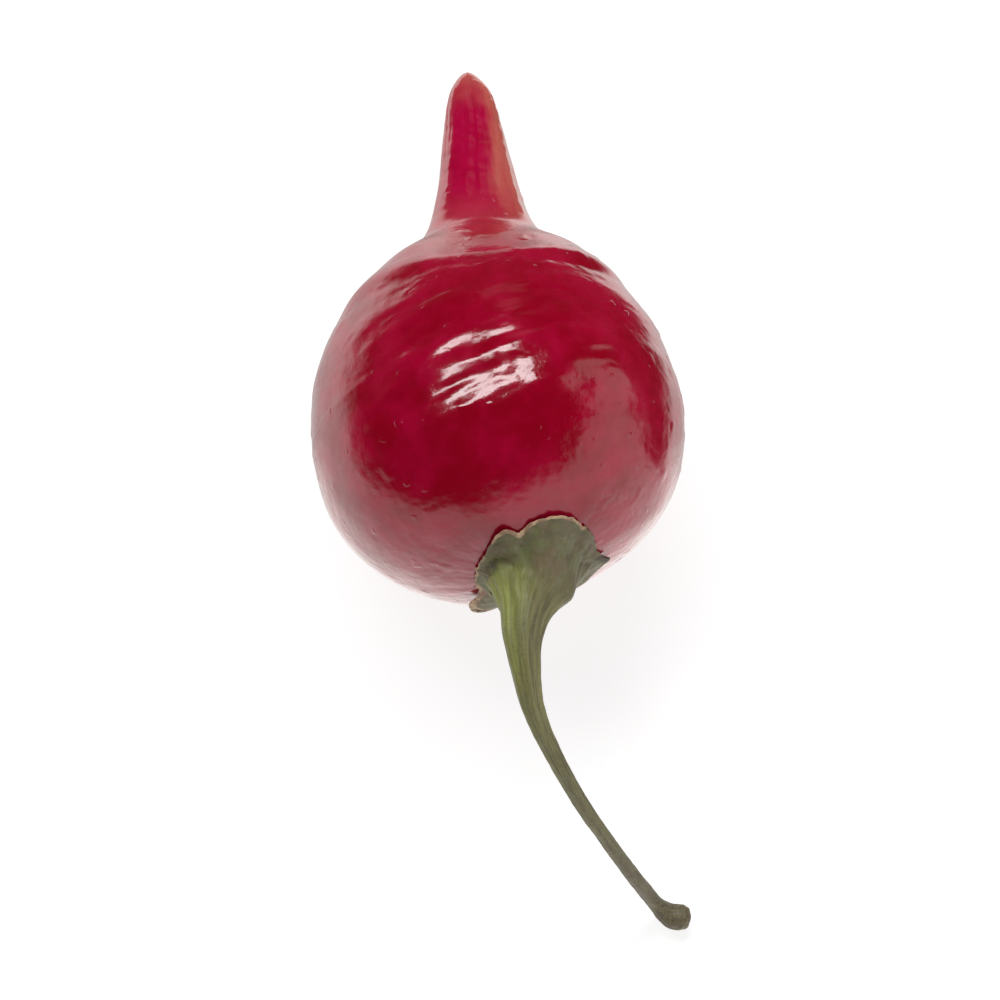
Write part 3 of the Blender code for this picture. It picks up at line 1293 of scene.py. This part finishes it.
@dataclass
class Calyx:
    """The lobed cap over the pod's crown, which flares out of the foot of the stem."""

    pod: Pod
    stem: Stem
    rim: tuple[Station, ...] = (
        (-170, 2.45), (-156, 2.45), (-146, 2.80), (-138, 3.55), (-127, 3.90), (-118, 3.45), (-100, 3.10),
        (-80, 3.25), (-62, 3.55), (-48, 3.85), (-36, 3.70), (-20, 3.66), (-10, 3.86), (-3, 3.48), (6, 3.20),
        (20, 3.26), (34, 3.44), (46, 3.56), (56, 3.80), (68, 3.84), (80, 3.64), (90, 3.35), (98, 2.98),
        (104, 3.35), (110, 3.52), (120, 3.18), (134, 2.70), (148, 2.48), (168, 2.42),
    )  # degrees round from +X, radius in millimetres
    lift: tuple[Station, ...] = (
        (-170, 0.05), (-152, 0.12), (-128, 0.50), (-108, 0.12), (-60, 0.10), (-30, 0.06), (-9, 0.26),
        (12, 0.05), (60, 0.12), (84, 0.06), (97, 0.00), (110, 0.20), (128, 0.10), (160, 0.04),
    )  # degrees, how far the rim stands off the skin in millimetres
    rest_gap: float = 0.02 * MM
    rim_thickness: float = 0.13 * MM
    plate_thickness: float = 0.30 * MM
    plate_shares: tuple[float, ...] = (1.0, 0.94, 0.86, 0.76)
    bell_places: tuple[float, ...] = (0.05, 0.5, 0.95, 1.4, 1.9)  # millimetres from the stem's foot
    collar_end: float = 2.45 * MM
    collar_sunk: float = 0.06 * MM  # how far its end dips into the stem
    sides: int = 300
    upper_rings: int = 74
    under_rings: int = 12
    rim_points: int = 3
    collar_rings: int = 8
    rags: tuple[Station, ...] = ((4.5, 0.10 * MM), (13.0, 0.09 * MM))  # how fine, how high
    lumps: tuple[Station, ...] = ((1.0, 0.12 * MM), (2.7, 0.045 * MM))
    lump_length: float = 1.3 * MM
    edge_unevenness: tuple[Station, ...] = ((3.6, 1.6),)
    edge_width: float = 0.20 * MM
    flap_width: float = 0.80 * MM
    relief_start: Station = (0.0, 0.5 * MM)  # distances from the rim where something starts and is whole
    dead_start: Station = (0.7 * MM, 0.1 * MM)
    collar_fade: Station = (1.9 * MM, 1.0 * MM)  # from here on they are distances from the bell's foot
    vein_start: Station = (0.6 * MM, -0.3 * MM)
    fresh_start: Station = (-1.2 * MM, 0.0)
    leaf_start: Station = (1.4 * MM, -0.6 * MM)
    bell_start: Station = (-0.8 * MM, 0.8 * MM)
    groove_belt: Belt = (-0.30 * MM, 0.38 * MM)  # for these belts: where the middle lies, and the width
    swell_belt: Belt = (0.25 * MM, 0.85 * MM)
    # where the painted shade lies in the groove under the upper-left lobe
    recess_shade_belt: Belt = (-0.35 * MM, 0.32 * MM)
    far_away: float = 9.0 * MM  # so far from the rim or the bell that neither tints the skin
    groove: Hill = (142, 0.8, 0.26 * MM)  # degrees round, width in radians and height there
    swell: Hill = (-178, 0.95, 0.42 * MM)
    # painted shade: dark brown laid in the groove under the upper-left lobe
    recess_shade: Hill = (142, 0.6, 0.6)
    flap: Hill = (-138, 0.4, 1.0)
    dry_stretches: tuple[Hill, ...] = ((78, 0.6, 0.6), (178, 0.8, 0.5), (-50, 0.3, 0.3))
    dead_tips: tuple[Hill, ...] = ((-7, 0.13, 1.0), (-128, 0.26, 0.5))

    def __post_init__(self) -> None:
        """Lays the rim's radius and lift as closed smooth lines."""
        self.rim_line = Line(((math.radians(a), r * MM) for a, r in self.rim), period=2 * math.pi)
        self.lift_line = Line(((math.radians(a), h * MM) for a, h in self.lift), period=2 * math.pi)

    def on_pod(self, turn: float, radius: float, height: float) -> Vector:
        """A point over the pod's crown.

        Args:
            turn: the angle round the crown's axis, in radians.
            radius: the distance from the axis.
            height: how far the point stands off the pod's skin.

        Returns:
            The point.
        """
        rise = self.pod.crown * (self.pod.crown_height(radius) + height)
        return self.pod.centre + rise + around(self.pod.crown, turn) * radius

    def edge(self, turn: float) -> float:
        """How far out the ragged rim lies.

        Args:
            turn: the angle, in radians.

        Returns:
            The rim's radius there.
        """
        spot = Vector((math.cos(turn), math.sin(turn), 0.0))
        return self.rim_line.at(turn) + roughness(spot, self.rags)

    def under(self, turn: float, share: float) -> Vector:
        """A point on the under side, at a share of the way out to the rim."""
        rim, lift = self.edge(turn), self.lift_line.at(turn)
        return self.on_pod(turn, share * rim, self.rest_gap + lift * share**4)

    def over(self, turn: float, share: float) -> Vector:
        """A point on the upper side of the plate.

        Args:
            turn: the angle, in radians.
            share: the share of the way out to the rim.

        Returns:
            The point.
        """
        rim, lift = self.edge(turn), self.lift_line.at(turn)
        thinning = (self.rim_thickness - self.plate_thickness) * smoothstep(0.7, 1.0, share)
        thickness = self.plate_thickness + thinning
        return self.on_pod(turn, share * rim, self.rest_gap + lift * share**4 + thickness)

    def flare(self, turn: float) -> list[tuple[Vector, float, float]]:
        """The upper side cut at one angle, from the rim over the plate and up the bell.

        Args:
            turn: the angle round the crown's axis and the stem, in radians.

        Returns:
            For each point its place, its distance from the rim and its distance from the bell's foot.
        """
        stations = [self.over(turn, share) for share in self.plate_shares]
        stations += [self.stem.skin(turn, place * MM)[0] for place in self.bell_places]
        places = [0.0]
        for near, far in zip(stations, stations[1:]):
            places.append(places[-1] + (far - near).length)
        lines = [Line(zip(places, [p[i] for p in stations])) for i in range(3)]
        foot = places[len(self.plate_shares)]
        points = []
        for k in range(self.upper_rings + 1):
            reach = places[-1] * k / self.upper_rings
            points.append((Vector([line.at(reach) for line in lines]), reach, reach - foot))
        return points

    def swelling(self, turn: float, reach: float, beyond: float) -> float:
        """The height of the veins, the groove, the swelling and the lumps on the upper side.

        Args:
            turn: the angle, in radians.
            reach: the distance from the rim.
            beyond: the distance from the bell's foot, negative on the plate.

        Returns:
            The height, in metres.
        """
        inner = smoothstep(*self.relief_start, reach)
        collar = smoothstep(*self.collar_fade, beyond)
        veins = self.stem.ribs(turn) * smoothstep(*self.vein_start, beyond)
        spot = Vector((math.cos(turn) * 3.2, math.sin(turn) * 3.2, beyond / self.lump_length))
        lumps = roughness(spot, self.lumps)
        groove = hills_round(turn, self.groove) * hill(beyond, *self.groove_belt)
        swell = hills_round(turn, self.swell) * hill(beyond, *self.swell_belt)
        return inner * collar * (veins + lumps - groove + swell)

    def tints(self, turn: float, reach: float, beyond: float) -> dict[str, float]:
        """How far each tint has taken over at a point of the upper side.

        Args:
            turn: the angle, in radians.
            reach: the distance from the rim.
            beyond: the distance from the bell's foot, negative on the plate.

        Returns:
            Shares of the dry edge, fresh green, dead brown with painted shade in the groove under the
            upper-left lobe, and leaf grey.
        """
        dry = 0.4 + hills_round(turn, *self.dry_stretches)
        flap = hills_round(turn, self.flap)
        uneven = roughness(Vector((math.cos(turn), math.sin(turn), 0.6)), self.edge_unevenness)
        width = self.edge_width * max(1.0 + uneven, 0.3) + self.flap_width * flap
        edge = smoothstep(width, 0.0, reach) * (dry + 0.6 * flap)
        side = self.stem.fresh_side
        facing = math.cos(turn) * side.x + math.sin(turn) * side.y
        fresh = smoothstep(*FRESH_FACING, facing) * smoothstep(*self.fresh_start, beyond)
        fresh *= smoothstep(FRESH_TO, FRESH_FROM, beyond)
        # painted shade: the groove under the upper-left lobe is tinted dead brown
        recess_shade = hills_round(turn, self.recess_shade) * hill(beyond, *self.recess_shade_belt)
        dead_and_shade = hills_round(turn, *self.dead_tips) * smoothstep(*self.dead_start, reach) + recess_shade
        return {"edge": edge, "fresh": fresh, "dead_and_shade": dead_and_shade, "leaf": smoothstep(*self.leaf_start, beyond)}

    def section(self, turn: float) -> list[tuple[Vector, Vector, dict[str, float]]]:
        """The calyx cut at one angle, from under its middle, round its rim and up to its collar.

        Args:
            turn: the angle, in radians.

        Returns:
            For each point its place, its place among the fibres and its tints.
        """
        side, top = math.cos(turn) * FIBRES, math.sin(turn) * FIBRES
        rim_tints = self.tints(turn, 0.0, -self.far_away)
        points = []
        for k in range(1, self.under_rings + 1):
            share = k / self.under_rings
            points.append((self.under(turn, share), Vector((side, top, -1.0)), rim_tints))
        low, high = self.under(turn, 1.0), self.over(turn, 1.0)
        outward = (low - self.under(turn, 0.95)).normalized()
        for k in range(1, self.rim_points + 1):
            angle = math.pi * k / (self.rim_points + 1)
            bulge = outward * (math.sin(angle) * self.rim_thickness * 0.5)
            middle = low.lerp(high, (1 - math.cos(angle)) / 2)
            points.append((middle + bulge, Vector((side, top, -1.0)), rim_tints))
        for spot, reach, beyond in self.flare(turn):
            lean = smoothstep(*self.bell_start, beyond)
            outward = self.stem.skin(turn, max(beyond, 0.0))[1]
            raised = (self.pod.crown * (1 - lean) + outward * lean).normalized()
            fibre = Vector((side, top, beyond / FIBRE_LENGTH))
            place = spot + raised * self.swelling(turn, reach, beyond)
            points.append((place, fibre, self.tints(turn, reach, beyond)))
        last = self.bell_places[-1] * MM
        for k in range(1, self.collar_rings + 1):
            share = k / self.collar_rings
            along = last + (self.collar_end - last) * share
            spot = self.stem.skin(turn, along, proud=-self.collar_sunk * share**1.5)[0]
            fibre = Vector((side, top, along / FIBRE_LENGTH))
            points.append((spot, fibre, self.tints(turn, self.far_away, along)))
        return points

    def build(self, finish: CalyxFinish) -> bpy.types.Object:
        """Builds the calyx cut by cut and puts it on the pepper's body in place of its imported solid.

        Args:
            finish: the finish of its leaf.

        Returns:
            The piece.
        """
        bm = bmesh.new()
        # dead_and_shade holds the dead brown tips and the painted shade in the groove
        layers = {name: bm.verts.layers.float.new(name) for name in ("edge", "fresh", "dead_and_shade", "leaf")}
        fibres = bm.verts.layers.float_vector.new("fibre")
        columns = []
        for k in range(self.sides):
            column = []
            for spot, fibre, tints in self.section(2 * math.pi * k / self.sides):
                vert = bm.verts.new(spot)
                vert[fibres] = fibre
                for name, share in tints.items():
                    vert[layers[name]] = share
                column.append(vert)
            columns.append(column)
        bottom = bm.verts.new(self.on_pod(0.0, 0.0, self.rest_gap))
        top = bm.verts.new(self.stem.middle(self.collar_end))
        for near, far in zip(columns, columns[1:] + columns[:1]):
            bm.faces.new((bottom, near[0], far[0]))
            bm.faces.new((top, far[-1], near[-1]))
            for i in range(len(near) - 1):
                bm.faces.new((near[i], near[i + 1], far[i + 1], far[i]))
        bmesh.ops.recalc_face_normals(bm, faces=bm.faces)
        piece = add_mesh("calyx_cap", bm, finish.material())
        piece.data.shade_smooth()
        hand_in(piece, "calyx", Slot.CALYX)
        return piece


# The studio


@dataclass(frozen=True)
class Patch:
    """A soft-edged part of the walls, round the way to its middle."""

    middle: Vector
    edge: float  # the cosine of the angle from the middle to where it ends
    full: float  # the same, to where it is whole

    def share(self, graph: Graph, toward: Flow) -> Flow:
        """1 for a ray that goes towards the patch, and 0 for one that misses it."""
        return graph.ramp(calculate("DOT_PRODUCT", toward, self.middle), self.edge, self.full)


@dataclass
class Studio:
    """A pale glowing floor, a long soft lamp, pale walls on the stem's side and a camera overhead."""

    subject: tuple[Vector, Vector]
    floor_radius: float = 6.0
    floor_glow: float = 0.84
    cloud_size: float = 20 * MM
    grit_size: float = 0.3 * MM
    grit_depth: float = 0.002 * MM
    lamp_from: Vector = field(default_factory=lambda: Vector((-0.107, 0.577, 0.809)))
    lamp_size: tuple[float, float] = (1.30, 0.34)
    lamp_away: float = 1.5
    lamp_roll: float = math.radians(18)
    lamp_power: float = 19.0
    wall_light: float = 1.15
    ceiling_light: float = 0.015
    backdrop_light: float = 1.0
    low_light: float = 0.20
    foot_shade: float = 0.50
    dark_ahead: float = 0.65
    window_light: float = 0.25
    low_wall_light: float = 0.5
    pale_half: Patch = Patch(direction(-62.0, -58.0), -0.20, 0.10)
    bright_wall: Patch = Patch(direction(-20.0, 14.0), 0.86, 0.93)
    bright_window: Patch = Patch(direction(15.0, 14.0), 0.935, 0.975)
    dark_corner: Patch = Patch(direction(2.0, -26.0), 0.92, 0.98)
    dark_wall: Patch = Patch(direction(65.0, 0.0), 0.30, 0.52)
    low_wall: Patch = Patch(direction(62.0, -45.0), 0.80, 0.95)
    faint_window: Patch = Patch(direction(82.0, 8.0), 0.965, 0.9985)
    lens: float = 800.0
    sensor: float = 36.0
    fill: float = 0.86

    def floor(self) -> None:
        """The surface that the pepper lies on. The walls stand in for it in the gloss of the skin."""
        bm = bmesh.new()
        bmesh.ops.create_circle(bm, cap_ends=True, segments=96, radius=self.floor_radius)
        finish = Finish("floor", Specular_IOR_Level=0.1, Emission_Strength=self.floor_glow)
        cloud = finish.graph.noise(finish.place(), self.cloud_size, 1.0)
        colour = finish.graph.mix(cloud, (0.30, 0.30, 0.30, 1.0), (0.34, 0.34, 0.34, 1.0))
        feed(finish.shader.inputs["Emission Color"], (1.0, 1.0, 1.0, 1.0))
        grit = finish.graph.noise(finish.place(), self.grit_size, 2.0)
        material = finish.wear(colour, cloud * 0.1 + 0.7, grit, self.grit_depth)
        floor = add_mesh("floor", bm, material)
        floor.visible_glossy = False

    def lamp(self) -> None:
        """The long soft lamp, above and beyond the beak."""
        light = bpy.data.lights.new("lamp", "AREA")
        light.shape = "RECTANGLE"
        light.size, light.size_y = self.lamp_size
        light.energy = self.lamp_power
        lamp = add_object("lamp", light)
        lamp.location = self.lamp_from.normalized() * self.lamp_away
        turned = self.lamp_from.to_track_quat("Z", "Y") @ Quaternion((0.0, 0.0, 1.0), self.lamp_roll)
        lamp.rotation_euler = turned.to_euler()

    def walls(self) -> None:
        """Pale walls round the stem's side, darker ones beyond the beak, and a dark ceiling."""
        world = bpy.data.worlds.new("walls")
        world.use_nodes = True
        bpy.context.scene.world = world
        graph = Graph(world.node_tree)
        toward = graph.flow("ShaderNodeTexCoord")
        x, y, z = [toward.part(axis) for axis in range(3)]
        ahead = graph.ramp(calculate("ABSOLUTE", x + 0.02), 0.13, 0.03)
        ahead = ahead * graph.ramp(y, 0.05, 0.25) * self.dark_ahead
        above = graph.ramp(z + x * 0.25, -0.76, -0.60)
        wall, corner = self.dark_wall.share(graph, toward), self.dark_corner.share(graph, toward)
        dark = calculate("MAXIMUM", calculate("MAXIMUM", wall * above, corner), ahead)
        pale = self.pale_half.share(graph, toward) * (1.0 - dark)
        for bright in (self.bright_wall, self.bright_window):
            pale = calculate("MAXIMUM", pale, bright.share(graph, toward))
        light = pale * (graph.ramp(z, 0.1, -0.4) * self.low_light + 1.0)
        foot = graph.ramp(z, -0.55, -0.98) * graph.ramp(y, -0.15, 0.0)
        light = light * (1.0 - foot * self.foot_shade)
        light = light * (self.low_wall.share(graph, toward) * self.low_wall_light + 1.0)
        light = light * (self.wall_light - self.ceiling_light) + self.ceiling_light
        light = light + self.faint_window.share(graph, toward) * self.window_light
        seen = graph.flow("ShaderNodeLightPath")
        strength = light + seen * (self.backdrop_light - light)
        background = world.node_tree.nodes["Background"]
        feed(background.inputs["Color"], (1.0, 0.985, 0.955, 1.0))
        feed(background.inputs["Strength"], strength)

    def camera(self) -> None:
        """A long lens straight above the pepper, with the beak at the top of the frame."""
        low, high = self.subject
        middle = (low + high) / 2
        data = bpy.data.cameras.new("camera")
        data.lens, data.sensor_width = self.lens, self.sensor
        camera = add_object("camera", data)
        span = max(high.x - low.x, high.y - low.y) / self.fill
        camera.location = middle + Vector((0, 0, span / 2 / (self.sensor / 2 / self.lens)))
        data.clip_start, data.clip_end = 0.01, 50.0
        bpy.context.scene.camera = camera

    def build(self) -> None:
        """Sets up everything round the pepper."""
        self.floor()
        self.lamp()
        self.walls()
        self.camera()
        bpy.context.scene.view_settings.view_transform = "Standard"
        log.info("studio: floor, lamp, walls and camera")


def main() -> None:
    """Builds the pepper's pieces in order, then the studio."""
    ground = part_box("pod")[0].z
    pod = Pod(centre=Vector((0.0, 0.0, ground + Pod.rest_height)))
    stem = Stem(pod)
    pod.build(SkinFinish())
    Calyx(pod, stem).build(CalyxFinish())
    stem.build(StemFinish())
    Studio(subject=CAD_BOX).build()


if __name__ == "__main__":
    logging.basicConfig(level=logging.INFO, format="%(name)s: %(message)s")
    main()
